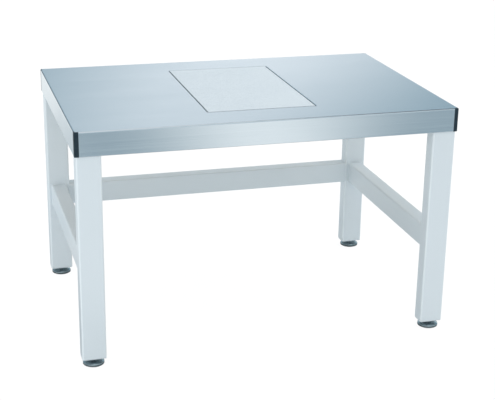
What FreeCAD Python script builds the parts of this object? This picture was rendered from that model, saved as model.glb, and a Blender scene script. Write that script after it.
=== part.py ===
import FreeCAD, Part
import os
import Sketcher
from FreeCAD import Placement, Rotation, Vector
from math import pi

# Weighing balance table: a stainless worktop folded over a core board on a welded steel frame,
# with a stone slab in a cut-out that stands on rubber dampers of its own and never touches the
# worktop. Millimetres, +Z up, +Y to the rear. The origin is on the floor under the table's centre.

# Each size that can be set by itself: alias, value, what it is.
SIZES = [
    ("top_length", 1200, "worktop, left to right"),
    ("top_depth", 800, "worktop, front to rear"),
    ("top_height", 750, "worktop above the floor"),
    ("sheet_gauge", 1.5, "stainless sheet"),
    ("skirt_depth", 75, "height of the folded skirt"),
    ("bend_radius", 4, "outer radius of the folds"),
    ("hem_height", 12, "skirt's lower edge folded back flat"),
    ("hem_flat", 0.15, "flat left between the hem's roundings"),
    ("opening_length", 350, "slab opening, left to right"),
    ("opening_depth", 550, "slab opening, front to rear"),
    ("opening_radius", 4, "corners of the slab opening"),
    ("lip_depth", 23, "edge of the opening folded down"),
    ("lip_radius", 2, "fold at the opening"),
    ("notch_length", 14, "open corner of the skirt, along each side"),
    ("cut_margin", 1, "how far a cut runs past the sheet's outside"),
    ("cap_tongue", 12, "corner cap's tongue behind the skirt"),
    ("tongue_gauge", 2, "thickness of the tongue"),
    ("cap_land", 0.2, "corner cap's wall beside its roundings"),
    ("moulding_gap", 0.1, "clearance round moulded and pressed-in pieces"),
    ("board_thickness", 18, "core board"),
    ("board_setback", 5, "board's edge inside the skirt's outer face"),
    ("board_gap", 0.5, "board's cut-out round the folded lip"),
    ("slab_thickness", 30, "stone slab"),
    ("slab_gap", 3, "open gap round the slab"),
    ("slab_radius", 2, "slab's upright corners"),
    ("slab_arris", 1, "chamfer round the slab's top"),
    ("damper_diameter", 40, "rubber damper"),
    ("damper_inset_x", 55, "damper's centre inside the slab's side"),
    ("damper_inset_y", 75, "damper's centre inside the slab's end"),
    ("plate_gauge", 2, "steel plate bonded under the damper"),
    ("plate_diameter", 36, "that plate"),
    ("damper_stud_diameter", 8, "stud on the plate"),
    ("damper_stud_length", 14, "stud below the plate"),
    ("damper_nut_flats", 13, "damper nut across flats"),
    ("damper_nut_height", 6.5, "damper nut"),
    ("bearer_width", 44, "channel under the slab"),
    ("bearer_height", 20, "flanges of that channel"),
    ("bearer_gauge", 3, "its sheet"),
    ("bearer_radius", 4, "its outer bends"),
    ("frame_setback", 4, "legs inside the skirt's outer face"),
    ("leg_width", 75, "leg tube, left to right"),
    ("leg_depth", 50, "leg tube, front to rear"),
    ("tube_gauge", 2.5, "wall of the legs and stretchers"),
    ("tube_radius", 6, "outer corners of the legs and stretchers"),
    ("leg_clearance", 26, "leg's lower end above the floor"),
    ("stretcher_height", 75, "stretcher tube"),
    ("stretcher_thickness", 50, "stretcher tube"),
    ("stretcher_level", 267, "stretcher's underside above the floor"),
    ("rail_height", 50, "top rail tube"),
    ("rail_thickness", 30, "top rail tube"),
    ("rail_gauge", 2, "its wall"),
    ("rail_radius", 4, "its outer corners"),
    ("bracket_width", 30, "angle bracket along the rail"),
    ("bracket_leg", 25, "each leg of the angle"),
    ("bracket_gauge", 3, "its sheet"),
    ("bracket_radius", 4, "its outer bend"),
    ("bracket_place", 300, "front and rear brackets from the middle"),
    ("screw_diameter", 4, "board screw"),
    ("screw_length", 14, "its shank in the board"),
    ("screw_flats", 7, "its hexagon head across flats"),
    ("screw_head_height", 2.8, "its head"),
    ("screw_gap", 0.25, "hole round a screw or stud in the steel"),
    ("pilot_margin", 1, "pilot hole past the screw's tip"),
    ("end_cap_flange", 3, "end cap under the leg"),
    ("end_cap_margin", 0.5, "flange inside the leg's outline"),
    ("end_cap_plug", 24, "end cap inside the leg"),
    ("end_cap_wall", 3, "walls of the plug and of its boss"),
    ("end_cap_rib", 2.5, "ribs from the boss to the wall"),
    ("bush_flats", 17, "threaded bush, a long hexagon nut"),
    ("bush_height", 25, "threaded bush"),
    ("thread_diameter", 10, "levelling stud"),
    ("running_gap", 0.05, "radial clearance where a shaft turns"),
    ("shank_length", 50, "stud above its collar"),
    ("collar_flats", 14, "stud's hexagon collar"),
    ("collar_height", 4.5, "that collar"),
    ("nut_flats", 17, "lock nut across flats"),
    ("nut_height", 4.7, "lock nut"),
    ("nut_gap", 0.1, "lock nut below the end cap"),
    ("spigot_diameter", 8, "spigot that turns in the cup"),
    ("rivet_diameter", 13, "riveted end of the spigot"),
    ("rivet_height", 1.6, "that end"),
    ("swivel_gap", 0.2, "end play of the spigot"),
    ("cup_diameter", 66, "foot's cup"),
    ("cup_height", 12.8, "cup's top above the floor"),
    ("cup_rim", 1.5, "cup's rim above the floor"),
    ("cup_gauge", 2.5, "pressed sheet of the cup"),
    ("cup_shoulder", 2.5, "bevel round the cup's top"),
    ("pad_height", 4.2, "rubber pad in the cup"),
]

# What follows from those sizes: alias, formula, what it is.
PLACES = [
    ("board_top", "=sizes.top_height - sizes.sheet_gauge", "core board's upper face"),
    ("frame_top", "=board_top - sizes.board_thickness", "top of legs and rails"),
    ("rail_middle", "=frame_top - sizes.rail_height / 2", "rails' centre line"),
    ("slab_underside", "=sizes.top_height - sizes.slab_thickness", ""),
    ("bearer_top", "=frame_top - sizes.rail_height + sizes.bearer_height", "flush under the rails"),
    ("damper_height", "=slab_underside - bearer_top", "plate and rubber"),
    ("leg_x", "=sizes.top_length / 2 - sizes.frame_setback - sizes.leg_width / 2", "leg's centre"),
    ("leg_y", "=sizes.top_depth / 2 - sizes.frame_setback - sizes.leg_depth / 2", "leg's centre"),
    ("span_x", "=2 * leg_x - sizes.leg_width", "between the legs, left to right"),
    ("span_y", "=2 * leg_y - sizes.leg_depth", "between the legs, front to rear"),
    ("stretcher_middle", "=sizes.stretcher_level + sizes.stretcher_height / 2", ""),
    ("rail_inner_x", "=leg_x - sizes.rail_thickness / 2", "side rail's inner face"),
    ("rail_inner_y", "=leg_y - sizes.rail_thickness / 2", "front and rear rail's inner face"),
    ("slab_length", "=sizes.opening_length - 2 * sizes.slab_gap", ""),
    ("slab_depth", "=sizes.opening_depth - 2 * sizes.slab_gap", ""),
    ("damper_x", "=slab_length / 2 - sizes.damper_inset_x", ""),
    ("damper_y", "=slab_depth / 2 - sizes.damper_inset_y", ""),
    ("cap_wall", "=sizes.bend_radius - sizes.moulding_gap", "corner cap inside the notch"),
    ("flange_bottom", "=sizes.leg_clearance - sizes.end_cap_flange", "what the lock nut meets"),
    ("bush_socket", "=sizes.bush_flats + 2 * sizes.moulding_gap", "hexagon hole for the bush"),
    ("nut_bottom", "=flange_bottom - sizes.nut_gap - sizes.nut_height", ""),
    ("collar_bottom", "=sizes.cup_height + sizes.swivel_gap", ""),
    ("collar_top", "=collar_bottom + sizes.collar_height", ""),
    ("cup_inside", "=sizes.cup_height - sizes.cup_gauge", "underside of the cup's top"),
    ("rivet_top", "=cup_inside - sizes.swivel_gap", ""),
    ("bracket_x", "=rail_inner_x - sizes.bracket_leg / 2", "side bracket's screw"),
    ("bracket_y", "=rail_inner_y - sizes.bracket_leg / 2", "front and rear bracket's screw"),
    ("thread_hole", "=sizes.thread_diameter + 2 * sizes.running_gap", "bore round the levelling stud"),
]

SIDES = [("fl", -1, -1), ("fr", 1, -1), ("rl", -1, 1), ("rr", 1, 1)]

document = FreeCAD.newDocument("balance_table")
nodes = []


def make_sheets():
    """Writes the driving sizes and the places that follow from them."""
    for name, rows in (("sizes", SIZES), ("places", PLACES)):
        sheet = document.addObject("Spreadsheet::Sheet", name)
        for row, (alias, content, note) in enumerate(rows, start=1):
            sheet.set("A%d" % row, note)
            sheet.set("B%d" % row, str(content))
            sheet.setAlias("B%d" % row, alias)
        document.recompute()


def number(expression):
    """What an expression on the two sheets comes to now."""
    return float(document.sizes.evalExpression(str(expression)))


# Bodies and sketches

def start_body(name, x="0", y="0", z="0", turn=0):
    """A body that is one node, placed by expressions and turned about Z by whole degrees."""
    body = document.addObject("PartDesign::Body", name)
    body.Label = name
    body.Placement = Placement(Vector(), Rotation(Vector(0, 0, 1), turn))
    for axis, expression in (("x", x), ("y", y), ("z", z)):
        body.setExpression("Placement.Base." + axis, expression)
    nodes.append(body)
    return body


def plane(body, role):
    return next(item for item in body.Origin.OriginFeatures if item.Role == role)


def start_sketch(body, role="XY_Plane", level="0"):
    """A sketch on one of the body's own planes, moved along the plane's normal."""
    sketch = body.newObject("Sketcher::SketchObject", body.Name + "_sketch")
    sketch.AttachmentSupport = [(plane(body, role), "")]
    sketch.MapMode = "FlatFace"
    sketch.setExpression("AttachmentOffset.Base.z", level)
    return sketch


def dimension(sketch, kind, where, expression):
    """A dimension of the sketch, bound to an expression."""
    index = sketch.addConstraint(Sketcher.Constraint(kind, *where, number(expression)))
    sketch.setExpression("Constraints[%d]" % index, expression)


def fix_point(sketch, geometry, end, x, y):
    """Places a point of the sketch from its origin; a place of nought lies on the axis."""
    for kind, expression, axis in (("DistanceX", x, -2), ("DistanceY", y, -1)):
        if expression == "0":
            sketch.addConstraint(Sketcher.Constraint("PointOnObject", geometry, end, axis))
        else:
            dimension(sketch, kind, (-1, 1, geometry, end), expression)


def closed_lines(sketch, corners):
    """Lines from corner to corner and back to the first, joined at their ends."""
    lines = []
    for start, end in zip(corners, corners[1:] + corners[:1]):
        lines.append(sketch.addGeometry(Part.LineSegment(start, end), False))
    for before, after in zip(lines, lines[1:] + lines[:1]):
        sketch.addConstraint(Sketcher.Constraint("Coincident", before, 2, after, 1))
    return lines


def square_up(sketch, lower, right, upper, left):
    """Keeps the four sides of a rectangle level and upright."""
    for kind, lines in (("Horizontal", (lower, upper)), ("Vertical", (right, left))):
        for line in lines:
            sketch.addConstraint(Sketcher.Constraint(kind, line))


def draw_polygon(sketch, points):
    """A closed outline with straight sides, each corner given as two expressions."""
    corners = [Vector(number(x), number(y), 0) for x, y in points]
    for line, (x, y) in zip(closed_lines(sketch, corners), points):
        fix_point(sketch, line, 1, x, y)


def draw_rectangle(sketch, width, height, x="0", y="0"):
    """A rectangle of that width and height about a centre."""
    half_x, half_y = number(width) / 2, number(height) / 2
    middle = Vector(number(x), number(y), 0)
    signs = ((-1, -1), (1, -1), (1, 1), (-1, 1))
    corners = [middle + Vector(a * half_x, b * half_y, 0) for a, b in signs]
    lower, right, upper, left = closed_lines(sketch, corners)
    square_up(sketch, lower, right, upper, left)
    dimension(sketch, "DistanceX", (lower, 1, lower, 2), width)
    dimension(sketch, "DistanceY", (right, 1, right, 2), height)
    centre = sketch.addGeometry(Part.Point(middle), True)
    sketch.addConstraint(Sketcher.Constraint("Symmetric", lower, 1, upper, 1, centre, 1))
    fix_point(sketch, centre, 1, x, y)


def draw_rounded_rectangle(sketch, width, height, radius):
    """A rectangle with equal rounded corners about the sketch's origin."""
    round_by = number(radius)
    half_x, half_y = number(width) / 2, number(height) / 2
    arcs = []
    for quarter, (sign_x, sign_y) in enumerate(((1, 1), (-1, 1), (-1, -1), (1, -1))):
        centre = Vector(sign_x * (half_x - round_by), sign_y * (half_y - round_by), 0)
        circle = Part.Circle(centre, Vector(0, 0, 1), round_by)
        arc = Part.ArcOfCircle(circle, quarter * pi / 2, (quarter + 1) * pi / 2)
        arcs.append(sketch.addGeometry(arc, False))
    lines = []
    for before, after in zip(arcs, arcs[1:] + arcs[:1]):
        ends = sketch.getPoint(before, 2), sketch.getPoint(after, 1)
        line = sketch.addGeometry(Part.LineSegment(*ends), False)
        sketch.addConstraint(Sketcher.Constraint("Tangent", before, 2, line, 1))
        sketch.addConstraint(Sketcher.Constraint("Tangent", line, 2, after, 1))
        lines.append(line)
    upper, left, lower, right = lines
    square_up(sketch, lower, right, upper, left)
    for arc in arcs[1:]:
        sketch.addConstraint(Sketcher.Constraint("Equal", arcs[0], arc))
    sketch.addConstraint(Sketcher.Constraint("Symmetric", arcs[0], 3, arcs[2], 3, -1, 1))
    dimension(sketch, "Radius", (arcs[0],), radius)
    dimension(sketch, "DistanceX", (left, 1, right, 1), width)
    dimension(sketch, "DistanceY", (lower, 1, upper, 1), height)


def draw_circle(sketch, diameter, x="0", y="0"):
    middle = Vector(number(x), number(y), 0)
    circle = Part.Circle(middle, Vector(0, 0, 1), number(diameter) / 2)
    geometry = sketch.addGeometry(circle, False)
    dimension(sketch, "Diameter", (geometry,), diameter)
    fix_point(sketch, geometry, 3, x, y)


def draw_hexagon(sketch, flats, x="0", y="0"):
    """A regular hexagon of that width across flats, with two corners to the left and right."""
    corner, half = "(%s) / sqrt(3)" % flats, "(%s) / 2" % flats
    signs = ((2, 0), (1, 1), (-1, 1), (-2, 0), (-1, -1), (1, -1))
    points = []
    for across, up in signs:
        point_x = "(%s) + (%d) * %s / 2" % (x, across, corner)
        points.append((point_x, "(%s) + (%d) * %s" % (y, up, half) if up or y != "0" else "0"))
    draw_polygon(sketch, points)


# Features

def add_feature(body, kind, lengths=(), **settings):
    """A PartDesign feature with plain settings and with lengths bound to expressions."""
    feature = body.newObject("PartDesign::" + kind, body.Name + "_" + kind.lower())
    for setting, content in settings.items():
        setattr(feature, setting, content)
    for length, expression in dict(lengths).items():
        feature.setExpression(length, expression)
    return feature


def pad(body, sketch, length, side="One side", downward=False):
    return add_feature(body, "Pad", {"Length": length}, Profile=sketch, SideType=side, Reversed=downward)


def pocket(body, sketch, length, upward=False):
    """Cuts from the sketch against its normal, or along it when upward."""
    before = volume(body)
    cut = add_feature(body, "Pocket", {"Length": length}, Profile=sketch, Reversed=upward)
    if volume(body) >= before:
        raise ValueError(cut.Name + " cuts nothing")
    return cut


def volume(body):
    document.recompute()
    return body.Shape.Volume


def revolve(body, sketch):
    """Turns an XZ sketch once round the body's Z axis."""
    return add_feature(body, "Revolution", Profile=sketch, ReferenceAxis=(sketch, ["V_Axis"]), Angle=360)


def edge_names(feature, wanted):
    document.recompute()
    return ["Edge%d" % n for n, edge in enumerate(feature.Shape.Edges, start=1) if wanted(edge)]


def face_names(feature, wanted):
    document.recompute()
    return ["Face%d" % n for n, face in enumerate(feature.Shape.Faces, start=1) if wanted(face)]


def fillet(body, feature, wanted, radius):
    names = edge_names(feature, wanted)
    return add_feature(body, "Fillet", {"Radius": radius}, Base=(feature, names))


def chamfer(body, feature, wanted, size):
    names = edge_names(feature, wanted)
    return add_feature(body, "Chamfer", {"Size": size}, Base=(feature, names))


def hollow(body, feature, open_faces, gauge):
    """Leaves a wall of that gauge inside the skin, open at the faces wanted."""
    names = face_names(feature, open_faces)
    return add_feature(body, "Thickness", {"Value": gauge}, Base=(feature, names), Reversed=True, Join="Arc")


def copy_to_quarters(body, features):
    """Repeats features of the rear right quarter in the other three."""
    both = body.newObject("PartDesign::MultiTransform", body.Name + "_quarters")
    mirrors = []
    for role in ("YZ_Plane", "XZ_Plane"):
        mirror = document.addObject("PartDesign::Mirrored", body.Name + "_mirror")
        body.addObject(mirror)
        mirror.MirrorPlane = (plane(body, role), [""])
        mirrors.append(mirror)
    both.Originals = features
    both.Transformations = mirrors
    body.Tip = both


def mirror_whole(body):
    """Mirrors all that the body holds so far, left to right and then front to rear."""
    for role in ("YZ_Plane", "XZ_Plane"):
        mirror = body.newObject("PartDesign::Mirrored", body.Name + "_mirror")
        mirror.TransformMode = "Whole shape"
        mirror.MirrorPlane = (plane(body, role), [""])
        body.Tip = mirror


# Tests that pick edges and faces by where they lie

def near(first, second):
    return abs(first - second) < 1e-4


def runs_along(axis):
    """Straight edges along one of the axes x, y and z."""
    def wanted(edge):
        if not isinstance(edge.Curve, Part.Line):
            return False
        return near(abs(getattr(edge.tangentAt(edge.FirstParameter), axis)), 1)
    return wanted


def at_level(level):
    """Edges that lie flat at a height of the body."""
    def wanted(edge):
        return near(edge.BoundBox.ZMin, level) and near(edge.BoundBox.ZMax, level)
    return wanted


def faces_to(axis, sides=(-1, 1)):
    """Flat faces that look along an axis, one way or both."""
    def wanted(face):
        if not isinstance(face.Surface, Part.Plane):
            return False
        return any(near(getattr(face.normalAt(0, 0), axis), side) for side in sides)
    return wanted


def within(size):
    """Edges whose middle lies inside a centred rectangle, its border included."""
    half_x, half_y = (number(side) / 2 + 1e-3 for side in size)

    def wanted(edge):
        middle = edge.CenterOfMass
        return abs(middle.x) < half_x and abs(middle.y) < half_y
    return wanted


# The worktop: folded sheet, core board and corner caps

def worktop_sheet():
    """One stainless sheet folded down on all four sides and round the slab's opening.

    The skirt's lower edge is a closed hem. The upright corners stay open, for the corner caps.
    """
    body = start_body("worktop_sheet", z="sizes.top_height")
    sketch = start_sketch(body)
    draw_rectangle(sketch, "sizes.top_length", "sizes.top_depth")
    block = pad(body, sketch, "sizes.skirt_depth", downward=True)
    folded = fillet(body, block, at_level(0), "sizes.bend_radius")
    hollow(body, folded, faces_to("z", (-1,)), "sizes.sheet_gauge")
    fold_opening(body)
    hem_skirt(body)
    notch_corners(body)


def fold_opening(body):
    """The slab's opening with its edge folded down."""
    opening = ["sizes.opening_length", "sizes.opening_depth"]
    lip = [side + " + 2 * sizes.sheet_gauge" for side in opening]
    sketch = start_sketch(body)
    draw_rounded_rectangle(sketch, *lip, "sizes.opening_radius + sizes.sheet_gauge")
    pad(body, sketch, "sizes.lip_depth", downward=True)
    sketch = start_sketch(body)
    draw_rounded_rectangle(sketch, *opening, "sizes.opening_radius")
    cut = pocket(body, sketch, "sizes.lip_depth")
    top, round_opening = at_level(0), within(opening)
    fillet(body, cut, lambda edge: top(edge) and round_opening(edge), "sizes.lip_radius")


def hem_skirt(body):
    """Folds the skirt's lower edge back flat against its inside."""
    sketch = start_sketch(body, level="-sizes.skirt_depth")
    for layers in (1, 4):
        outline = ["sizes.top_%s - %d * sizes.sheet_gauge" % (side, layers) for side in ("length", "depth")]
        draw_rectangle(sketch, *outline)
    hem = pad(body, sketch, "sizes.hem_height")
    bottom = at_level(-number("sizes.skirt_depth"))
    fillet(body, hem, bottom, "sizes.sheet_gauge - sizes.hem_flat")


def notch_corners(body):
    """Cuts the folds away at the four upright corners."""
    outer, notch, fold = [
        ["sizes.top_%s / 2 %s" % (side, shift) for side in ("length", "depth")]
        for shift in ("+ sizes.cut_margin", "- sizes.notch_length", "- sizes.bend_radius")
    ]
    sketch = start_sketch(body)
    draw_polygon(sketch, [
        (outer[0], outer[1]),
        (notch[0], outer[1]),
        (notch[0], fold[1]),
        (fold[0], fold[1]),
        (fold[0], notch[1]),
        (outer[0], notch[1]),
    ])
    cut = pocket(body, sketch, "sizes.skirt_depth + sizes.cut_margin")
    copy_to_quarters(body, [cut])


def worktop_board():
    """Core board glued under the sheet, with pilot holes for the bracket screws."""
    body = start_body("worktop_board", z="places.board_top")
    sketch = start_sketch(body)
    margin = " + 2 * (sizes.sheet_gauge + sizes.board_gap)"
    draw_rectangle(sketch, *["sizes.top_%s - 2 * sizes.board_setback" % side for side in ("length", "depth")])
    draw_rectangle(sketch, "sizes.opening_length" + margin, "sizes.opening_depth" + margin)
    pad(body, sketch, "sizes.board_thickness", downward=True)
    sketch = start_sketch(body, level="-sizes.board_thickness")
    for bracket in BRACKETS:
        draw_circle(sketch, "sizes.screw_diameter + 2 * sizes.running_gap", *screw_place(*bracket))
    pocket(body, sketch, "sizes.screw_length + sizes.pilot_margin", upward=True)


def corner_caps():
    """Black mouldings in the skirt's open corners, with tongues that slip behind the skirt."""
    turns = {"rr": 0, "rl": 90, "fl": 180, "fr": 270}
    leg = "-(sizes.notch_length - sizes.moulding_gap)"
    for side, sign_x, sign_y in SIDES:
        x, y = "%d * sizes.top_length / 2" % sign_x, "%d * sizes.top_depth / 2" % sign_y
        body = start_body("corner_cap_" + side, x, y, "sizes.top_height - sizes.skirt_depth", turns[side])
        sketch = start_sketch(body)
        draw_polygon(sketch, [
            ("0", "0"), (leg, "0"), (leg, "-places.cap_wall"), ("-places.cap_wall", "-places.cap_wall"),
            ("-places.cap_wall", leg), ("0", leg),
        ])
        angle = pad(body, sketch, "sizes.skirt_depth")
        fillet(body, angle, outer_edges(number(leg)), "places.cap_wall - sizes.cap_land")
        cap_tongues(body, leg)


def outer_edges(leg):
    """The upright corner edge of a corner cap, and the top edges of its two outer faces."""
    top, upright = at_level(number("sizes.skirt_depth")), runs_along("z")
    inner = -number("places.cap_wall") / 2

    def wanted(edge):
        middle = edge.CenterOfMass
        if upright(edge):
            return near(middle.x, 0) and near(middle.y, 0)
        return top(edge) and max(middle.x, middle.y) > inner and min(middle.x, middle.y) > leg + 1e-3
    return wanted


def cap_tongues(body, leg):
    """Two tongues behind the skirt, above its hem."""
    face = "-(sizes.sheet_gauge + sizes.moulding_gap + sizes.tongue_gauge / 2)"
    middle = leg + " - sizes.cap_tongue / 2"
    sketch = start_sketch(body, level="sizes.hem_height + sizes.tongue_gauge")
    draw_rectangle(sketch, "sizes.cap_tongue", "sizes.tongue_gauge", middle, face)
    draw_rectangle(sketch, "sizes.tongue_gauge", "sizes.cap_tongue", face, middle)
    pad(body, sketch, "sizes.skirt_depth - sizes.hem_height - sizes.tongue_gauge - sizes.bend_radius")


# The slab and what carries it

def slab():
    """Stone slab with rounded corners and a fine arris round its top."""
    body = start_body("slab", z="places.slab_underside")
    sketch = start_sketch(body)
    draw_rounded_rectangle(sketch, "places.slab_length", "places.slab_depth", "sizes.slab_radius")
    block = pad(body, sketch, "sizes.slab_thickness")
    chamfer(body, block, at_level(number("sizes.slab_thickness")), "sizes.slab_arris")


def dampers():
    """The four rubber buffers, each on its steel plate."""
    body = start_body("dampers", z="places.bearer_top + sizes.plate_gauge")
    sketch = start_sketch(body)
    draw_circle(sketch, "sizes.damper_diameter", "places.damper_x", "places.damper_y")
    pad(body, sketch, "places.damper_height - sizes.plate_gauge")
    mirror_whole(body)


def damper_studs():
    """The four steel plates and their studs."""
    body = start_body("damper_studs", z="places.bearer_top")
    sketch = start_sketch(body)
    draw_circle(sketch, "sizes.plate_diameter", "places.damper_x", "places.damper_y")
    pad(body, sketch, "sizes.plate_gauge")
    sketch = start_sketch(body)
    draw_circle(sketch, "sizes.damper_stud_diameter", "places.damper_x", "places.damper_y")
    pad(body, sketch, "sizes.damper_stud_length", downward=True)
    mirror_whole(body)


def damper_nuts():
    """A nut on each of those studs, under the bearer."""
    body = start_body("damper_nuts", z="places.bearer_top - sizes.bearer_gauge")
    sketch = start_sketch(body)
    draw_hexagon(sketch, "sizes.damper_nut_flats", "places.damper_x", "places.damper_y")
    hole = "sizes.damper_stud_diameter + 2 * sizes.running_gap"
    draw_circle(sketch, hole, "places.damper_x", "places.damper_y")
    pad(body, sketch, "sizes.damper_nut_height", downward=True)
    mirror_whole(body)


def bearers():
    """Channels between the front and rear rails, open below, that carry the dampers."""
    for side, sign in (("left", -1), ("right", 1)):
        middle = "places.bearer_top - sizes.bearer_height / 2"
        body = start_body("bearer_" + side, "%d * places.damper_x" % sign, z=middle)
        sketch = start_sketch(body, "XZ_Plane")
        draw_rectangle(sketch, "sizes.bearer_width", "sizes.bearer_height")
        bar = pad(body, sketch, "2 * places.rail_inner_y", "Symmetric")
        along, top = runs_along("y"), number("sizes.bearer_height") / 2
        folded = fillet(
            body, bar, lambda edge: along(edge) and near(edge.CenterOfMass.z, top), "sizes.bearer_radius")
        below, ends = faces_to("z", (-1,)), faces_to("y")
        hollow(body, folded, lambda face: below(face) or ends(face), "sizes.bearer_gauge")
        sketch = start_sketch(body)
        for place in ("places.damper_y", "-places.damper_y"):
            draw_circle(sketch, "sizes.damper_stud_diameter + 2 * sizes.screw_gap", y=place)
        pocket(body, sketch, "sizes.bearer_height", upward=True)


# The welded frame

def tube(name, axis, size, length, place, gauge="sizes.tube_gauge", radius="sizes.tube_radius"):
    """A rectangular tube along an axis, centred on its place, with rounded corners."""
    role = {"x": "YZ_Plane", "y": "XZ_Plane", "z": "XY_Plane"}[axis]
    body = start_body(name, *place)
    sketch = start_sketch(body, role)
    draw_rectangle(sketch, *size)
    bar = pad(body, sketch, length, "Symmetric")
    rounded = fillet(body, bar, runs_along(axis), radius)
    hollow(body, rounded, faces_to(axis), gauge)


def legs():
    length = "places.frame_top - sizes.leg_clearance"
    middle = "(places.frame_top + sizes.leg_clearance) / 2"
    for side, sign_x, sign_y in SIDES:
        place = ("%d * places.leg_x" % sign_x, "%d * places.leg_y" % sign_y, middle)
        tube("leg_" + side, "z", ("sizes.leg_width", "sizes.leg_depth"), length, place)


def stretchers():
    """Three tubes between the legs; the front stays open for the knees."""
    section = ("sizes.stretcher_thickness", "sizes.stretcher_height")
    level = "places.stretcher_middle"
    tube("stretcher_left", "y", section, "places.span_y", ("-places.leg_x", "0", level))
    tube("stretcher_right", "y", section, "places.span_y", ("places.leg_x", "0", level))
    tube("stretcher_rear", "x", section, "places.span_x", ("0", "places.leg_y", level))


def rails():
    """Top rails inside the skirt, level with the tops of the legs."""
    section = ("sizes.rail_thickness", "sizes.rail_height")
    places = {
        "rail_front": ("x", "places.span_x", ("0", "-places.leg_y", "places.rail_middle")),
        "rail_rear": ("x", "places.span_x", ("0", "places.leg_y", "places.rail_middle")),
        "rail_left": ("y", "places.span_y", ("-places.leg_x", "0", "places.rail_middle")),
        "rail_right": ("y", "places.span_y", ("places.leg_x", "0", "places.rail_middle")),
    }
    for name, (axis, length, place) in places.items():
        tube(name, axis, section, length, place, "sizes.rail_gauge", "sizes.rail_radius")


# Each bracket: the way its rail runs, its place along the rail, and the rail's side of the table.
BRACKETS = [
    ("x", "-sizes.bracket_place", -1),
    ("x", "sizes.bracket_place", -1),
    ("x", "-sizes.bracket_place", 1),
    ("x", "sizes.bracket_place", 1),
    ("y", "0", -1),
    ("y", "0", 1),
]


def screw_place(axis, along, side):
    """Where a bracket's screw stands, as two expressions."""
    if axis == "x":
        return along, "%d * places.bracket_y" % side
    return "%d * places.bracket_x" % side, along


def rail_brackets():
    """Angles welded inside the rails, that the board is screwed to."""
    body = start_body("rail_brackets", z="places.frame_top")
    for axis, along, side in BRACKETS:
        role, rail = ("YZ_Plane", "rail_inner_y") if axis == "x" else ("XZ_Plane", "rail_inner_x")
        sketch = start_sketch(body, role, along)
        face, back, tip = [
            "%d * (places.%s - %s)" % (side, rail, depth)
            for depth in ("0 * sizes.bracket_gauge", "sizes.bracket_gauge", "sizes.bracket_leg")
        ]
        draw_polygon(sketch, [
            (face, "0"), (tip, "0"), (tip, "-sizes.bracket_gauge"), (back, "-sizes.bracket_gauge"),
            (back, "-sizes.bracket_leg"), (face, "-sizes.bracket_leg"),
        ])
        angles = pad(body, sketch, "sizes.bracket_width", "Symmetric")
    fillet(body, angles, outer_bends(), "sizes.bracket_radius")
    sketch = start_sketch(body)
    for bracket in BRACKETS:
        draw_circle(sketch, "sizes.screw_diameter + 2 * sizes.screw_gap", *screw_place(*bracket))
    pocket(body, sketch, "sizes.bracket_gauge")


def outer_bends():
    """The upper edge of each bracket along its rail."""
    along_x, along_y = runs_along("x"), runs_along("y")
    face_x, face_y = number("places.rail_inner_x"), number("places.rail_inner_y")

    def wanted(edge):
        middle = edge.CenterOfMass
        on_long_rail = along_x(edge) and near(abs(middle.y), face_y)
        on_side_rail = along_y(edge) and near(abs(middle.x), face_x)
        return near(middle.z, 0) and (on_long_rail or on_side_rail)
    return wanted


def bracket_screws():
    """Hexagon-head screws from below through the brackets into the board."""
    body = start_body("bracket_screws", z="places.frame_top - sizes.bracket_gauge")
    heads, shanks = start_sketch(body), start_sketch(body)
    for bracket in BRACKETS:
        draw_hexagon(heads, "sizes.screw_flats", *screw_place(*bracket))
        draw_circle(shanks, "sizes.screw_diameter", *screw_place(*bracket))
    pad(body, heads, "sizes.screw_head_height", downward=True)
    pad(body, shanks, "sizes.bracket_gauge + sizes.screw_length")


# The levelling feet

def leg_caps():
    """Moulded end caps: a flange under the leg and a ribbed plug inside it, with a hexagon boss."""
    ways = ("width", "depth")
    flange = ["sizes.leg_%s - 2 * sizes.end_cap_margin" % way for way in ways]
    plug = ["sizes.leg_%s - 2 * (sizes.tube_gauge + sizes.moulding_gap)" % way for way in ways]
    core = ["%s - 2 * sizes.end_cap_wall" % way for way in plug]
    for side, sign_x, sign_y in SIDES:
        x, y = "%d * places.leg_x" % sign_x, "%d * places.leg_y" % sign_y
        body = start_body("leg_cap_" + side, x, y, "places.flange_bottom")
        sketch = start_sketch(body)
        draw_rounded_rectangle(sketch, *flange, "sizes.tube_radius - sizes.end_cap_margin")
        pad(body, sketch, "sizes.end_cap_flange")
        sketch = start_sketch(body, level="sizes.end_cap_flange")
        draw_rounded_rectangle(sketch, *plug, "sizes.tube_radius - sizes.tube_gauge")
        pad(body, sketch, "sizes.end_cap_plug")
        sketch = start_sketch(body, level="sizes.end_cap_flange + sizes.end_cap_plug")
        draw_rectangle(sketch, *core)
        pocket(body, sketch, "sizes.end_cap_plug")
        cap_ribs(body, core)
        sketch = start_sketch(body)
        draw_hexagon(sketch, "places.bush_socket")
        pocket(body, sketch, "sizes.end_cap_flange + sizes.end_cap_plug", upward=True)


def cap_ribs(body, core):
    """The boss round the bush, and ribs from it to the plug's walls."""
    width, depth = core
    for size in ((width, "sizes.end_cap_rib"), ("sizes.end_cap_rib", depth)):
        sketch = start_sketch(body, level="sizes.end_cap_flange")
        draw_rectangle(sketch, *size)
        pad(body, sketch, "sizes.end_cap_plug")
    sketch = start_sketch(body, level="sizes.end_cap_flange")
    draw_hexagon(sketch, "places.bush_socket + 2 * sizes.end_cap_wall")
    pad(body, sketch, "sizes.end_cap_plug")


def foot_bushes():
    """Long hexagon nuts pressed into the end caps, which the levelling studs turn in."""
    body = start_body("foot_bushes", z="places.flange_bottom")
    sketch = start_sketch(body)
    draw_hexagon(sketch, "sizes.bush_flats", "places.leg_x", "places.leg_y")
    draw_circle(sketch, "places.thread_hole", "places.leg_x", "places.leg_y")
    bush = pad(body, sketch, "sizes.bush_height")
    copy_to_quarters(body, [bush])


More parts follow.
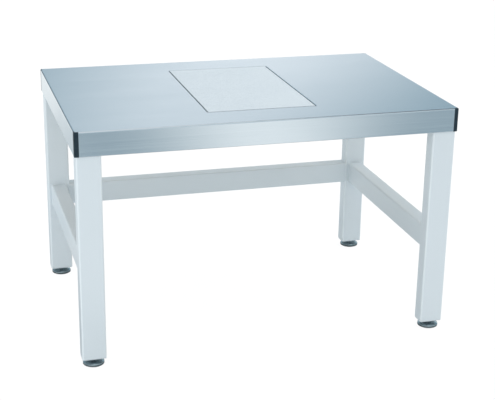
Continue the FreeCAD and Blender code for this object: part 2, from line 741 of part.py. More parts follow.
def foot_cup(name, x, y):
    """Pressed cup, which the stud's spigot swivels in."""
    body = start_body(name, x, y)
    hole = "sizes.spigot_diameter / 2 + sizes.running_gap"
    rim = "sizes.cup_diameter / 2"
    sketch = start_sketch(body, "XZ_Plane")
    draw_polygon(sketch, [
        (hole, "sizes.cup_height"),
        (rim + " - sizes.cup_shoulder", "sizes.cup_height"),
        (rim, "sizes.cup_height - sizes.cup_shoulder"),
        (rim, "sizes.cup_rim"),
        (rim + " - sizes.cup_gauge", "sizes.cup_rim"),
        (rim + " - sizes.cup_gauge", "places.cup_inside"),
        (hole, "places.cup_inside"),
    ])
    revolve(body, sketch)


def foot_pad(name, x, y):
    """Rubber pad that fills the cup's mouth and stands on the floor."""
    body = start_body(name, x, y)
    sketch = start_sketch(body)
    draw_circle(sketch, "sizes.cup_diameter - 2 * (sizes.cup_gauge + sizes.moulding_gap)")
    pad(body, sketch, "sizes.pad_height")


def foot_stud(name, x, y):
    """Levelling stud: riveted spigot below, hexagon collar, threaded shank above."""
    body = start_body(name, x, y)
    rivet, spigot = "sizes.rivet_diameter / 2", "sizes.spigot_diameter / 2"
    shank, tip = "sizes.thread_diameter / 2", "places.collar_top + sizes.shank_length"
    bottom = "places.rivet_top - sizes.rivet_height"
    sketch = start_sketch(body, "XZ_Plane")
    draw_polygon(sketch, [
        ("0", bottom), (rivet, bottom), (rivet, "places.rivet_top"), (spigot, "places.rivet_top"),
        (spigot, "places.collar_bottom"), (shank, "places.collar_bottom"), (shank, tip), ("0", tip),
    ])
    revolve(body, sketch)
    sketch = start_sketch(body, level="places.collar_bottom")
    draw_hexagon(sketch, "sizes.collar_flats")
    pad(body, sketch, "sizes.collar_height")


def foot_nut(name, x, y):
    """Lock nut under the end cap."""
    body = start_body(name, x, y, "places.nut_bottom")
    sketch = start_sketch(body)
    draw_hexagon(sketch, "sizes.nut_flats")
    draw_circle(sketch, "places.thread_hole")
    pad(body, sketch, "sizes.nut_height")


def feet():
    for side, sign_x, sign_y in SIDES:
        x, y = "%d * places.leg_x" % sign_x, "%d * places.leg_y" % sign_y
        foot_cup("foot_%s_cup" % side, x, y)
        foot_pad("foot_%s_pad" % side, x, y)
        foot_stud("foot_%s_stud" % side, x, y)
        foot_nut("foot_%s_nut" % side, x, y)


def check_objects():
    """Stops at any object that failed, and at any node with no sound solid."""
    for item in document.Objects:
        if "Invalid" in item.State or "Error" in item.State:
            raise RuntimeError("%s is %s" % (item.Name, item.State))
    for node in nodes:
        shape = node.Shape
        if shape.isNull() or not shape.isValid() or not shape.Solids:
            raise RuntimeError("%s has no sound solid" % node.Label)


def main():
    make_sheets()
    worktop_sheet()
    worktop_board()
    corner_caps()
    slab()
    dampers()
    damper_studs()
    damper_nuts()
    bearers()
    legs()
    stretchers()
    rails()
    rail_brackets()
    bracket_screws()
    leg_caps()
    foot_bushes()
    feet()
    document.recompute()
    check_objects()
    os.makedirs("parts", exist_ok=True)
    for node in nodes:
        node.Shape.exportStep("parts/%s.step" % node.Label)
    print("%d nodes" % len(nodes))


main()
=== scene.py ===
from math import cos, pi, radians, sin, tan

import bpy
from mathutils import Matrix, Vector, noise


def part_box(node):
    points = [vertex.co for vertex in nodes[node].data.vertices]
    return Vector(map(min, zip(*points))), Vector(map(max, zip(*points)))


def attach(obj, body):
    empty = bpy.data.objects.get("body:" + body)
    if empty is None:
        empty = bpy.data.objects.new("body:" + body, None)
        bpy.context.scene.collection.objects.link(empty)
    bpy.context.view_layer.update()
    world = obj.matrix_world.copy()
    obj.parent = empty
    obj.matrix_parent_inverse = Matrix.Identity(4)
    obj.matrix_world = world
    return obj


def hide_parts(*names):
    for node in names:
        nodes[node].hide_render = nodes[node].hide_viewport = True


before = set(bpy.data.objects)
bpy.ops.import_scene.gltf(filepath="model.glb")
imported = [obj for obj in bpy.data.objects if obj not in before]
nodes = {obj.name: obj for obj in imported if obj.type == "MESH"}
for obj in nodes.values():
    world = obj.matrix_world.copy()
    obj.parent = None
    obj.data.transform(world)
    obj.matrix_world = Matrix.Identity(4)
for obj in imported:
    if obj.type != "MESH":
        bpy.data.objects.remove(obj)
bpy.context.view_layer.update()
scene = bpy.context.scene


# Camera: stands in front of the table, to its left, and looks down on it, a little tilted. Its
# angles are in radians.

camera_place = (-1.0304, -3.6474, 1.7111)
yaw, pitch, roll = 0.2844, 0.3428, 0.0162

lens = bpy.data.cameras.new("camera")
lens.sensor_width = 36
lens.lens = 86.28
camera = bpy.data.objects.new("camera", lens)
scene.collection.objects.link(camera)
ahead = Vector((sin(yaw) * cos(pitch), cos(yaw) * cos(pitch), -sin(pitch)))
level = Vector((cos(yaw), -sin(yaw), 0))
above = level.cross(ahead)
across = level * cos(roll) + above * sin(roll)
upward = above * cos(roll) - level * sin(roll)
camera.matrix_world = Matrix.Translation(camera_place) @ Matrix((
    (across.x, upward.x, -ahead.x, 0),
    (across.y, upward.y, -ahead.y, 0),
    (across.z, upward.z, -ahead.z, 0),
    (0, 0, 0, 1),
))
scene.camera = camera


# Worktop: one stainless sheet folded down on four sides and hemmed, ground and brushed from left
# to right before it was folded, so that the grain stands upright on the two end skirts.

class Wire:
    """A socket of a finish. Python's operators on it add Math nodes."""

    def __init__(self, finish, socket):
        self.finish = finish
        self.socket = socket

    def math(self, operation, *inputs):
        return self.finish.node("ShaderNodeMath", {"operation": operation}, dict(enumerate(inputs)))

    def __add__(self, other):
        return self.math("ADD", self, other)

    def __sub__(self, other):
        return self.math("SUBTRACT", self, other)

    def __mul__(self, other):
        return self.math("MULTIPLY", self, other)

    def __rsub__(self, other):
        return self.math("SUBTRACT", other, self)

    def __abs__(self):
        return self.math("ABSOLUTE", self)

    __radd__ = __add__
    __rmul__ = __mul__

    def above(self, low, high):
        """0 below low, 1 above high, and even in between."""
        return self.finish.node("ShaderNodeMapRange", {},
                                {"Value": self, "From Min": low, "From Max": high})

    def between(self, low, high, blur):
        """1 from low to high, and down to 0 within the blur on both sides."""
        return self.above(low - blur, low) * (1 - self.above(high, high + blur))


class Finish:
    """The nodes of a material or a world. Their sockets take numbers, colours or wires."""

    def __init__(self, owner):
        owner.use_nodes = True
        self.owner = owner
        self.tree = owner.node_tree
        self.tree.nodes.clear()

    def node(self, kind, settings, sockets, output=0):
        """Adds a node: its settings first, then what its sockets hold. Gives one output."""
        node = self.tree.nodes.new(kind)
        for setting, content in settings.items():
            setattr(node, setting, content)
        for name, content in sockets.items():
            socket = node.inputs[name]
            if isinstance(content, Wire):
                self.tree.links.new(content.socket, socket)
            elif socket.type == "RGBA":
                socket.default_value = (*content, 1)
            else:
                socket.default_value = content
        return Wire(self, node.outputs[output]) if node.outputs else None

    def shader(self, **sockets):
        """The Principled shader and the output; an underscore stands for a blank in a socket's name."""
        named = {name.replace("_", " "): content for name, content in sockets.items()}
        surface = self.node("ShaderNodeBsdfPrincipled", {}, named)
        self.node("ShaderNodeOutputMaterial", {}, {"Surface": surface})
        return self.owner

    def place(self, kind="Object"):
        """Where a point lies on the table, in metres, or where the world's ray goes."""
        return self.node("ShaderNodeTexCoord", {}, {}, kind)

    def facing(self, axis):
        """How far a face looks along an axis, from -1 to 1."""
        return self.part_of(self.node("ShaderNodeNewGeometry", {}, {}, "Normal"), axis)

    def part_of(self, vector, axis):
        return self.node("ShaderNodeSeparateXYZ", {}, {"Vector": vector}, axis)

    def noise(self, size, detail=2.0, rough=0.5, stretch=(1, 1, 1)):
        """Noise from 0 to 1 whose lumps are about size across, stretched along the axes."""
        mapped = self.node("ShaderNodeVectorMath", {"operation": "MULTIPLY"},
                           {0: self.place(), 1: [1 / (size * s) for s in stretch]})
        return self.node("ShaderNodeTexNoise", {},
                         {"Vector": mapped, "Scale": 1.0, "Detail": detail, "Roughness": rough})

    def cells(self, at, scale):
        """A value from 0 to 1 for each cell of a cracked pattern."""
        colour = self.node("ShaderNodeTexVoronoi", {}, {"Vector": at, "Scale": scale}, "Color")
        return self.node("ShaderNodeSeparateColor", {}, {"Color": colour})

    def mix(self, share, first, second):
        """A colour between two colours."""
        return self.node("ShaderNodeMix", {"data_type": "RGBA"}, {0: share, 6: first, 7: second}, 2)

    def bump(self, height, depth, strength):
        """A normal from a height of 0 to 1 that stands for a depth in metres."""
        return self.node("ShaderNodeBump", {},
                         {"Height": height, "Distance": depth, "Strength": strength})


def new_finish(name):
    return Finish(bpy.data.materials.new(name))


def dress(material, *names):
    """Puts a material on carried-over solids."""
    for name in names:
        mesh = nodes[name].data
        mesh.materials.clear()
        mesh.materials.append(material)


hair_size, streak_size, drawn_out = 0.0004, 0.0026, 400

steel = new_finish("brushed_stainless")
end_skirt = abs(steel.facing("X")).above(0.65, 0.75)


def brushed(size):
    """Grain along the length, and upright on the end skirts."""
    lengthwise = steel.noise(size, 3.0, 0.6, (drawn_out, 1, 1))
    upright = steel.noise(size, 3.0, 0.6, (1, 1, drawn_out))
    return lengthwise * (1 - end_skirt) + upright * end_skirt


hairs = brushed(hair_size)
streaks = brushed(streak_size)
wiped = steel.noise(0.13, 3.0, 0.55, (2.5, 1, 1))
worn = steel.noise(0.018, 4.0, 0.6, (3, 1, 1)).above(0.62, 0.8)
ground = (hairs * 0.35 + streaks * 0.65).above(0.3, 0.7)
dress(
    steel.shader(
        Base_Color=steel.mix(ground, (0.57, 0.64, 0.69), (0.665, 0.73, 0.775)),
        Metallic=1.0,
        Roughness=hairs * 0.06 + streaks * 0.05 + wiped * 0.06 + worn * 0.03 + 0.12,
        Normal=steel.bump(hairs * 0.6 + streaks * 0.4, 0.00004, 0.5),
    ),
    "worktop_sheet",
)


# Corner caps: blue-black mouldings pushed into the open corners of the skirt, with the fine grain
# of a spark-eroded mould, rubbed paler in patches.

corner_names = ("fl", "fr", "rl", "rr")

moulding = new_finish("black_moulding")
spark = moulding.noise(0.0005, 3.0, 0.6)
rubbed = moulding.noise(0.014, 3.0, 0.55)
dress(
    moulding.shader(
        Base_Color=moulding.mix(rubbed.above(0.4, 0.8), (0.006, 0.021, 0.033), (0.018, 0.042, 0.058)),
        Roughness=spark * 0.14 + 0.36,
        Specular_IOR_Level=0.3,
        Normal=moulding.bump(spark, 0.00006, 0.6),
    ),
    *["corner_cap_" + side for side in corner_names],
)


# Slab: a pale fine-grained stone, sawn and honed on top, that lies loose on its dampers. Its sides,
# arris and underside are left as sawn, and are painted darker, partly for the sawn finish and partly
# as painted shade of the gap round the slab.

stone = new_finish("honed_stone")
clouds = stone.noise(0.11, 4.0, 0.55)
grains = stone.noise(0.0016, 3.0, 0.65)
crystal = stone.cells(stone.place(), 620.0)
dark_fleck = (grains + crystal * 0.5).above(0.84, 0.98)
pale_fleck = (grains - crystal * 0.5).above(0.3, 0.46)
pale = stone.mix(clouds.above(0.3, 0.7), (0.715, 0.81, 0.875), (0.745, 0.84, 0.90))
pale = stone.mix(pale_fleck * 0.5, pale, (0.80, 0.88, 0.93))
honed = stone.mix(dark_fleck * 0.7, pale, (0.50, 0.585, 0.64))
# Every face that doesn't look up gets this darker colour: partly the sawn finish, partly painted shade
# of the gap.
sawn_and_shaded = stone.mix(grains.above(0.3, 0.7), (0.33, 0.40, 0.44), (0.47, 0.55, 0.60))
top_side = stone.facing("Z").above(0.75, 0.95)
dress(
    stone.shader(
        Base_Color=stone.mix(top_side, sawn_and_shaded, honed),
        Roughness=grains * 0.12 + crystal * 0.06 - top_side * 0.2 + 0.53,
        Normal=stone.bump(grains, 0.00005, 0.35),
    ),
    "slab",
)


# Frame: rectangular steel tubes, brackets and channels, welded together and powder coated white.
# The coat has a fine orange peel and is scuffed near the floor, and the legs' rounded upright corners
# carry a painted highlight, a paler colour.

paint = new_finish("white_powder_coat")
peel = paint.noise(0.0022, 2.0, 0.5)
patch = paint.noise(0.35, 2.0, 0.5)
dust = paint.noise(0.006, 4.0, 0.6)
# Painted highlight: faces that look between X and Y, the legs' rounded upright corners, are picked out
# here.
corner = abs(paint.facing("X") * paint.facing("Y")).above(0.12, 0.45)
near_floor = 1 - paint.part_of(paint.place(), "Z").above(0.03, 0.16)
scuff = paint.noise(0.005, 5.0, 0.65, (1, 1, 0.5)).above(0.6, 0.72) * near_floor
coat = paint.mix(patch.above(0.3, 0.7) * 0.5 + dust * 0.3, (0.685, 0.765, 0.81), (0.725, 0.80, 0.845))
# The paler colour mixed in here is the painted highlight along those corners.
coat = paint.mix(corner * 0.8, coat, (0.80, 0.875, 0.915))
paint_shader = paint.shader(
    Base_Color=paint.mix(scuff * 0.4, coat, (0.46, 0.50, 0.52)),
    Roughness=dust * 0.08 + scuff * 0.15 + 0.30,
    Normal=paint.bump(peel, 0.00012, 0.35),
)
dress(
    paint_shader,
    *["leg_" + side for side in corner_names],
    *["stretcher_" + side for side in ("left", "right", "rear")],
    *["rail_" + side for side in ("front", "rear", "left", "right")],
    "bearer_left", "bearer_right", "rail_brackets",
)


# Weld beads: each tube is welded to its neighbour all round, or on the sides that stay in reach
# where the board lies on it, and the beads are coated with the frame.

bead_radius, ripple = 0.0019, 0.0024
bead_sides, bend_steps = 8, 6
tube_radius, rail_radius = 0.006, 0.004


def piece(name, points, faces, material, body, slot, *stands_for):
    """A mesh with its smooth faces and sharp edges, which rides on a body."""
    mesh = bpy.data.meshes.new(name)
    mesh.from_pydata(points, [], faces)
    mesh.materials.append(material)
    mesh.shade_smooth()
    mesh.set_sharp_from_angle(angle=radians(38))
    thing = bpy.data.objects.new(name, mesh)
    scene.collection.objects.link(thing)
    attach(thing, body)
    if stands_for:
        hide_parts(*stands_for)
    return thing


def walk(corners, closed):
    """Points along a line of corners, three to a ripple."""
    path = []
    for start, end in zip(corners, corners[1:] + corners[:1] if closed else corners[1:]):
        steps = max(1, round((end - start).length / (ripple / 3)))
        path += [start.lerp(end, n / steps) for n in range(steps)]
    return path if closed else path + [corners[-1]]


def tube_outline(wide, high, radius):
    """Corners of a tube's rounded section, as (across, up), from its top right corner downwards."""
    outline = []
    for turn, (a, b) in enumerate(((1, 1), (1, -1), (-1, -1), (-1, 1))):
        for step in range(bend_steps + 1):
            angle = pi / 2 - (turn * bend_steps + step) * pi / 2 / bend_steps
            outline.append((a * (wide / 2 - radius) + radius * cos(angle),
                            b * (high / 2 - radius) + radius * sin(angle)))
    return outline


beads, bead_faces = [], []


def bead(corners, out, closed=True):
    """Lays a rippled bead along corners that lie in the plane that out stands on."""
    path = walk(corners, closed)
    first, out = len(beads), Vector(out)
    for n, point in enumerate(path):
        ahead_of = path[(n + 1) % len(path)] if closed or n + 1 < len(path) else point
        tangent = (ahead_of - path[n - 1 if closed else max(n - 1, 0)]).normalized()
        beside = tangent.cross(out)
        uneven = 0.12 * noise.noise(point * 90)
        girth = bead_radius * (0.94 + 0.07 * cos(2 * pi * n / 3) + uneven)
        for k in range(bead_sides):
            angle = 2 * pi * k / bead_sides
            beads.append(point + (out * cos(angle) + beside * sin(angle)) * girth)
    rings = [[first + n * bead_sides + k for k in range(bead_sides)] for n in range(len(path))]
    for ring, following in zip(rings, rings[1:] + rings[:1] if closed else rings[1:]):
        for k in range(bead_sides):
            m = (k + 1) % bead_sides
            bead_faces.append((ring[k], ring[m], following[m], following[k]))
    if not closed:
        bead_faces.extend((rings[0][::-1], rings[-1]))


def weld_ends(tube, radius, along, closed=True, inset=0.0):
    """Lays a bead round both ends of a tube, given the axis that it runs along: all round, or on
    the sides and the underside."""
    low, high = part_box(tube)
    side = 1 - along
    middle = (low + high) / 2
    outline = tube_outline(high[side] - low[side] - 2 * inset, high.z - low.z, radius)
    for end, out in ((low[along], 1), (high[along], -1)):
        corners = []
        for a, b in outline if closed else outline[bend_steps:-bend_steps]:
            corner = middle + Vector((a, a, b))
            corner[along] = end
            corners.append(corner)
        bead(corners, [out * (1 - along), out * along, 0], closed)


weld_ends("stretcher_left", tube_radius, 1)
weld_ends("stretcher_right", tube_radius, 1)
weld_ends("stretcher_rear", tube_radius, 0, inset=0.0014)
for rail, along in (("rail_front", 0), ("rail_rear", 0), ("rail_left", 1), ("rail_right", 1)):
    weld_ends(rail, rail_radius, along, closed=False)
for bearer in ("bearer_left", "bearer_right"):
    low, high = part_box(bearer)
    bottom, top = low.z + 0.002, high.z - 0.005
    for x in (low.x, high.x):
        for y, out in ((low.y, 1), (high.y, -1)):
            bead([Vector((x, y, bottom)), Vector((x, y, top))], (0, out, 0), closed=False)
piece("weld_beads", beads, bead_faces, paint_shader, "frame", "frame_paint")


# Core board: pressed wood flakes, sawn at its edges and round the slab's cut-out, and glued under
# the sheet, whose skirt and lip cover its edges. Only its underside shows.

board = new_finish("flake_board")
shifted = board.node("ShaderNodeTexNoise", {},
                     {"Vector": board.place(), "Scale": 300.0, "Detail": 3.0}, "Color")
crooked = board.node("ShaderNodeVectorMath", {"operation": "MULTIPLY_ADD"},
                     {0: shifted, 1: (0.006, 0.006, 0.006), 2: board.place()})
flake = board.cells(crooked, 330.0)
fibre = board.noise(0.0012, 3.0, 0.6, (3, 1, 1))
dress(
    board.shader(
        Base_Color=board.mix(flake * 0.7 + fibre * 0.3, (0.42, 0.31, 0.20), (0.66, 0.53, 0.36)),
        Roughness=0.8,
        Normal=board.bump(flake + fibre, 0.0002, 0.5),
    ),
    "worktop_board",
)


# Dampers: four natural rubber buffers with a slight waist, each vulcanised to the steel plate under
# it. They stand on the bearers, and the slab lies on them.

damper_radius, rim_radius, end_radius, waist_radius = 0.020, 0.0199, 0.0195, 0.0186
rim_height = 0.003

rubber = new_finish("black_rubber")
bloom = rubber.noise(0.004, 4.0, 0.6)
rubber_shader = rubber.shader(
    Base_Color=rubber.mix(bloom, (0.022, 0.023, 0.024), (0.05, 0.052, 0.054)),
    Roughness=bloom * 0.2 + 0.55,
    Normal=rubber.bump(bloom, 0.0001, 0.3),
)


def eased(corners, closed=False, steps=5):
    """An outline of (radius, height) from corners of (radius, height, rounding)."""
    outline = []
    for n, (radius, height, rounding) in enumerate(corners):
        here = Vector((radius, height))
        if not rounding:
            outline.append((radius, height))
            continue
        back = (Vector(corners[n - 1][:2]) - here).normalized()
        onward = (Vector(corners[(n + 1) % len(corners)][:2]) - here).normalized()
        half = back.angle(onward) / 2
        centre = here + (back + onward).normalized() * rounding / sin(half)
        start, end = (here + way * rounding / tan(half) - centre for way in (back, onward))
        for step in range(steps + 1):
            outline.append(tuple(centre + start.lerp(end, step / steps).normalized() * rounding))
    return outline


def turned(outline, centres, parts=48, closed=False):
    """Points and faces of forms turned round upright axes. The outline runs up the outside, from axis
    to axis or closed, and may depend on the angle."""
    points, faces = [], []
    for x, y in centres:
        columns = []
        for part in range(parts):
            angle = 2 * pi * part / parts
            column = []
            for radius, height in outline(angle) if callable(outline) else outline:
                if radius == 0 and part:
                    column.append(columns[0][len(column)])
                else:
                    column.append(len(points))
                    points.append((x + radius * cos(angle), y + radius * sin(angle), height))
            columns.append(column)
        for here, beside in zip(columns, columns[1:] + columns[:1]):
            for n in range(len(here) if closed else len(here) - 1):
                m = (n + 1) % len(here)
                face = (here[n], beside[n], beside[m], here[m])
                faces.append(list(dict.fromkeys(face)))
    return points, faces


low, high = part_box("dampers")
damper_places = [(x, y) for x in (low.x + damper_radius, high.x - damper_radius)
                 for y in (low.y + damper_radius, high.y - damper_radius)]
damper_outline = eased([
    (0, low.z, 0), (end_radius, low.z, 0.0008), (rim_radius, low.z + rim_height, 0.002),
    (waist_radius, (low.z + high.z) / 2, 0.02),
    (rim_radius, high.z - rim_height, 0.002), (end_radius, high.z, 0.0008), (0, high.z, 0),
])
piece("damper_buffers", *turned(damper_outline, damper_places), rubber_shader, "frame",
      "damper_rubber", "dampers")


# Studs, nuts, bushes and screws: cold-formed steel with rolled threads, zinc plated, with the
# plating's faint cloudiness. The damper studs grow from the plates under the rubber.

m8_radius, m8_pitch, m8_flats, m8_bore = 0.004, 0.00125, 0.013, 0.00406
plate_thick, plate_radius, plate_round = 0.002, 0.018, 0.0003
screw_radius, screw_pitch, screw_flats, screw_head, screw_point = 0.002, 0.0014, 0.007, 0.0028, 0.003

zinc = new_finish("zinc_plated_steel")
cloud = zinc.noise(0.003, 4.0, 0.6)
zinc_shader = zinc.shader(
    Base_Color=zinc.mix(cloud, (0.52, 0.55, 0.58), (0.68, 0.70, 0.72)),
    Metallic=1.0,
    Roughness=cloud * 0.15 + 0.24,
    Normal=zinc.bump(cloud, 0.00005, 0.3),
)
dress(zinc_shader, "foot_bushes")


def thread(radius, rise, low, high, angle):
    """A right-hand thread's outline at one angle, five points to a turn, faded out at both ends."""
    depth, count = 0.61 * rise, round((high - low) / rise * 5)
    outline = []
    for n in range(count + 1):
        height = low + (high - low) * n / count
        turn = (height / rise - angle / (2 * pi)) % 1
        ridge = min(1, max(0, 1.5 * (1 - abs(2 * turn - 1)) - 0.25))
        ridge *= min(1, (height - low) / rise, (high - height) / rise)
        outline.append((radius - depth * (1 - ridge), height))
    return outline


def hexagon(flats, angle):
    """How far a hexagon's side is from its middle at one angle, the radius of the ring that its
    corners are turned off to, and how deep they are turned off."""
    side, ring = flats / 2 / cos((angle + pi / 6) % (pi / 3) - pi / 6), 0.475 * flats
    return side, ring, (side - ring) * tan(pi / 6)


def hexagon_nut(flats, bore, low, high):
    """A nut's outline: its corners turned off above and below, and its bore countersunk."""
    def outline(angle):
        side, ring, off = hexagon(flats, angle)
        sunk = 0.0005
        return [
            (bore + sunk, low), (ring, low), (side, low + off), (side, high - off), (ring, high),
            (bore + sunk, high), (bore, high - sunk), (bore, low + sunk),
        ]
    return outline


low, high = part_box("damper_studs")
plate_low = high.z - plate_thick
plate_outline = eased([
    (m8_radius, plate_low, 0), (plate_radius, plate_low, plate_round),
    (plate_radius, high.z, plate_round), (0, high.z, 0),
])


def damper_stud(angle):
    """Threaded stud below, and the plate that it grows from."""
    return [(0, low.z), *thread(m8_radius, m8_pitch, low.z, plate_low, angle), *plate_outline]


piece("damper_plates", *turned(damper_stud, damper_places), zinc_shader, "frame", "zinc_steel",
      "damper_studs")

low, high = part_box("damper_nuts")
damper_nut = hexagon_nut(m8_flats, m8_bore, low.z, high.z)
piece("damper_hexagons", *turned(damper_nut, damper_places, closed=True), zinc_shader, "frame",
      "zinc_steel", "damper_nuts")

low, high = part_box("bracket_screws")
head = low.z + screw_head


def screw(angle):
    """Hexagon head below, its lower corners turned off, and a threaded shank with a point."""
    side, ring, off = hexagon(screw_flats, angle)
    return [(0, low.z + 0.0003), (ring * 0.8, low.z + 0.0001), (ring, low.z), (side, low.z + off),
            (side, head), *thread(screw_radius, screw_pitch, head, high.z - screw_point, angle),
            (0, high.z)]


screw_places = [(x, y) for x in (-0.3, 0.3) for y in (-0.3435, 0.3435)] + [(-0.531, 0), (0.531, 0)]
piece("hexagon_screws", *turned(screw, screw_places, 24), zinc_shader, "frame", "zinc_steel",
      "bracket_screws")


# End caps: pale grey mouldings pressed into the legs, flange below, that carry the bushes. They
# have a fine matt grain, and are dulled in patches by floor water.

cap_moulding = new_finish("grey_moulding")
cap_grain = cap_moulding.noise(0.0006, 3.0, 0.6)
cap_dulled = cap_moulding.noise(0.009, 4.0, 0.6).above(0.45, 0.75)
dress(
    cap_moulding.shader(
        Base_Color=cap_moulding.mix(cap_dulled, (0.64, 0.71, 0.75), (0.55, 0.61, 0.64)),
        Roughness=cap_grain * 0.15 + 0.42,
        Normal=cap_moulding.bump(cap_grain, 0.00005, 0.5),
    ),
    *["leg_cap_" + side for side in corner_names],
)


# Levelling feet: a pressed and chromed cup round a rubber pad, a threaded stud with a hexagon
# collar, riveted into the cup so that it swivels, and a lock nut under the end cap. Their sizes
# are in millimetres.

millimetre = 0.001
groove_depth, groove_half, groove_slope = 0.6, 2, 0.5
pad_radius, pad_top = 30.4, 4.2
rivet_radius, rivet_low, rivet_high, spigot_radius = 6.5, 8.5, 10.1, 4
collar_flats, collar_low, collar_high = 14, 13, 17.5
m10_radius, m10_pitch, m10_flats, m10_bore, stud_top = 4.98, 1.5, 17, 5.04, 67.5

chrome = new_finish("chromed_steel")
smear = chrome.noise(0.012, 3.0, 0.6)
chrome_shader = chrome.shader(
    Base_Color=chrome.mix(smear, (0.37, 0.45, 0.48), (0.47, 0.55, 0.58)),
    Metallic=1.0,
    Roughness=smear * 0.06 + 0.06,
)


def in_metres(outline):
    return [(radius * millimetre, height * millimetre) for radius, height in outline]


cup = in_metres(eased([
    (33, 1.5, 0.7), (33, 8.4, 1.6), (23.5, 12.2, 6), (12, 12.8, 6), (4.05, 12.8, 0.3),
    (4.05, 10.3, 0), (21, 10.2, 3), (30.5, 6.6, 1), (30.5, 1.5, 0.7),
], closed=True))
pad = [(0, groove_depth, 0)]
for groove in (8, 16, 24):
    edge = groove_half + groove_slope
    pad += [(groove - edge, groove_depth, 0), (groove - groove_half, 0, 0),
            (groove + groove_half, 0, 0), (groove + edge, groove_depth, 0)]
pad += [(28, groove_depth, 0), (28.3, 0, 0), (pad_radius, 0, 0.8), (pad_radius, pad_top, 0.5),
        (0, pad_top, 0)]
pad = in_metres(eased(pad))
rivet = eased([(0, rivet_low, 0), (rivet_radius, rivet_low, 0.8), (rivet_radius, rivet_high, 0.3),
               (spigot_radius, rivet_high, 0)])


def foot_stud(angle):
    """Riveted end, spigot, hexagon collar with its corners turned off, and shank."""
    side, ring, off = hexagon(collar_flats, angle)
    return in_metres([
        *rivet, (spigot_radius, collar_low), (ring, collar_low), (side, collar_low + off),
        (side, collar_high - off), (ring, collar_high),
        *thread(m10_radius, m10_pitch, collar_high, stud_top, angle), (0, stud_top),
    ])


for side in corner_names:
    cup_node, pad_node, stud_node, nut_node = (
        "foot_%s_%s" % (side, what) for what in ("cup", "pad", "stud", "nut"))
    base = "foot_%s_base" % side
    low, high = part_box(cup_node)
    centre = [((low.x + high.x) / 2, (low.y + high.y) / 2)]
    piece("chromed_cup_" + side, *turned(cup, centre, 64, closed=True), chrome_shader, base,
          "foot_chrome", cup_node)
    piece("grooved_pad_" + side, *turned(pad, centre, 64), rubber_shader, base, "foot_rubber",
          pad_node)
    piece("threaded_stud_" + side, *turned(foot_stud, centre), zinc_shader, "foot_%s_stud" % side,
          "zinc_steel", stud_node)
    low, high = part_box(nut_node)
    lock_nut = hexagon_nut(m10_flats * millimetre, m10_bore * millimetre, low.z, high.z)
    piece("lock_nut_" + side, *turned(lock_nut, centre, closed=True), zinc_shader,
          "foot_%s_nut" % side, "zinc_steel", nut_node)


# Floor, surroundings and lights: a white floor, clear to the camera apart from a thin coat that
# keeps the shadow, and three weak soft lights that metal doesn't show. Metal mirrors pale window bays
# between duller walls, a dark beam and a dark doorway, and the floor's painted glow, darkened close
# to the table as painted shade.

floor_reach = 12
coat_share = 0.15
light_size = 1.6


def bays(finish, at, bearing, count, dull, bright, lit=1.0):
    """The room's colour by direction, with the middle of a bay at that bearing, in radians."""
    turn = abs(finish.node("ShaderNodeMath", {"operation": "ARCTAN2"},
                           {0: finish.part_of(at, "Y"), 1: finish.part_of(at, "X")}))
    wave = finish.node("ShaderNodeMath", {"operation": "COSINE"}, {0: (turn - bearing) * count})
    return finish.mix((wave * 0.5 + 0.5) * lit, dull, bright)


def rays(finish, *kinds):
    """1 for a ray of one of these kinds."""
    total = finish.node("ShaderNodeLightPath", {}, {}, kinds[0])
    for kind in kinds[1:]:
        total = total + finish.node("ShaderNodeLightPath", {}, {}, kind)
    return total


floor_finish = new_finish("white_floor")
at = floor_finish.place()
oval = floor_finish.node("ShaderNodeVectorMath", {"operation": "MULTIPLY"},
                         {0: at, 1: (0.67, 1.0, 0)})
away = floor_finish.node("ShaderNodeVectorMath", {"operation": "LENGTH"}, {0: oval}, "Value")
behind = floor_finish.part_of(at, "Y")
# The floor's glow in metal is painted light: window bays far off, dimmer just behind the table and
# brighter far behind.
lit = 1 - behind.above(0.5, 1.5) * 0.45 + behind.above(2.2, 3.6) * 0.6
far_floor = bays(floor_finish, at, radians(76), 10, (0.32, 0.42, 0.475), (1.15, 1.155, 1.14), lit)
# Close to the table the glow turns dark: painted shade of the table in the mirrored floor.
painted_floor_glow = floor_finish.mix(away.above(0.45, 1.1), (0.05, 0.07, 0.08), far_floor)
glow = floor_finish.node("ShaderNodeEmission", {}, {"Color": painted_floor_glow, "Strength": 1.075})
matt = floor_finish.node("ShaderNodeBsdfDiffuse", {}, {"Color": (0.86, 0.90, 0.92)})
clear = floor_finish.node("ShaderNodeBsdfTransparent", {}, {"Color": (1, 1, 1)})
seen_through = rays(floor_finish, "Is Camera Ray") * (1 - coat_share)
seen = floor_finish.node("ShaderNodeMixShader", {}, {0: seen_through, 1: matt, 2: clear})
in_metal = rays(floor_finish, "Is Glossy Ray", "Is Transmission Ray")
floor_surface = floor_finish.node("ShaderNodeMixShader", {}, {0: in_metal, 1: seen, 2: glow})
floor_finish.node("ShaderNodeOutputMaterial", {}, {"Surface": floor_surface})

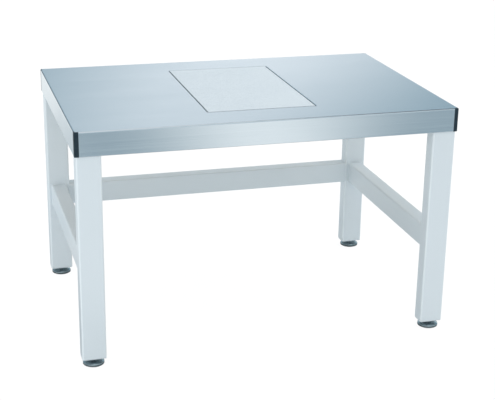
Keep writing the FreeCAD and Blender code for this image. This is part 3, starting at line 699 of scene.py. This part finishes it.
floor_mesh = bpy.data.meshes.new("floor")
floor_mesh.from_pydata([(x * floor_reach, y * floor_reach, 0)
                        for x, y in ((-1, -1), (1, -1), (1, 1), (-1, 1))], [], [(0, 1, 2, 3)])
floor_mesh.materials.append(floor_finish.owner)
floor = bpy.data.objects.new("floor", floor_mesh)
scene.collection.objects.link(floor)

scene.world = bpy.data.worlds.new("studio")
room = Finish(scene.world)
toward = room.place("Generated")
sideways, rearward, height = (room.part_of(toward, axis) for axis in "XYZ")
ceiling = 1 - height.above(0.225, 0.38) * rearward.above(-0.2, 0.2) * 0.75
walls = bays(room, toward, height * 1.04 + radians(61), 12, (0.21, 0.36, 0.445),
             (1.27, 1.285, 1.31), ceiling)
walls = room.mix(height.above(0.6, 0.8), walls, (1.0, 1.0, 1.0))
beam = sideways.between(0.38, 0.46, 0.1) * height.above(0.6, 0.8)
doorway = sideways.between(-0.35, -0.15, 0.06) * height.between(0.0, 0.23, 0.05)
doorway = doorway * rearward.above(0.7, 0.85)
walls = room.mix(beam + doorway, walls, (0.05, 0.08, 0.10))
plain = room.node("ShaderNodeBackground", {}, {"Color": (1, 1, 1), "Strength": 0.835})
shown = room.node("ShaderNodeBackground", {}, {
    "Color": room.mix(rays(room, "Is Camera Ray"), walls, (1.08, 1.08, 1.08)), "Strength": 1.0})
straight = rays(room, "Is Camera Ray", "Is Glossy Ray", "Is Transmission Ray")
surroundings = room.node("ShaderNodeMixShader", {}, {0: straight, 1: plain, 2: shown})
room.node("ShaderNodeOutputWorld", {}, {"Surface": surroundings})


def soft_light(name, place, aim_height, power):
    """A square light that points at the table's middle, at a height, and that metal doesn't show."""
    lamp = bpy.data.lights.new(name, "AREA")
    lamp.shape = "SQUARE"
    lamp.size = light_size
    lamp.energy = power
    thing = bpy.data.objects.new(name, lamp)
    thing.location = place
    way = Vector((0, 0, aim_height)) - Vector(place)
    thing.rotation_euler = way.to_track_quat("-Z", "Y").to_euler()
    thing.visible_glossy = False
    scene.collection.objects.link(thing)


soft_light("left_light", (-3.2, -1.0, 1.2), 0.4, 14)
soft_light("front_light", (-0.3, -3.4, 0.5), 0.3, 9)
soft_light("right_light", (2.4, 0.4, 2.4), 0.3, 17)

scene.view_settings.view_transform = "Standard"
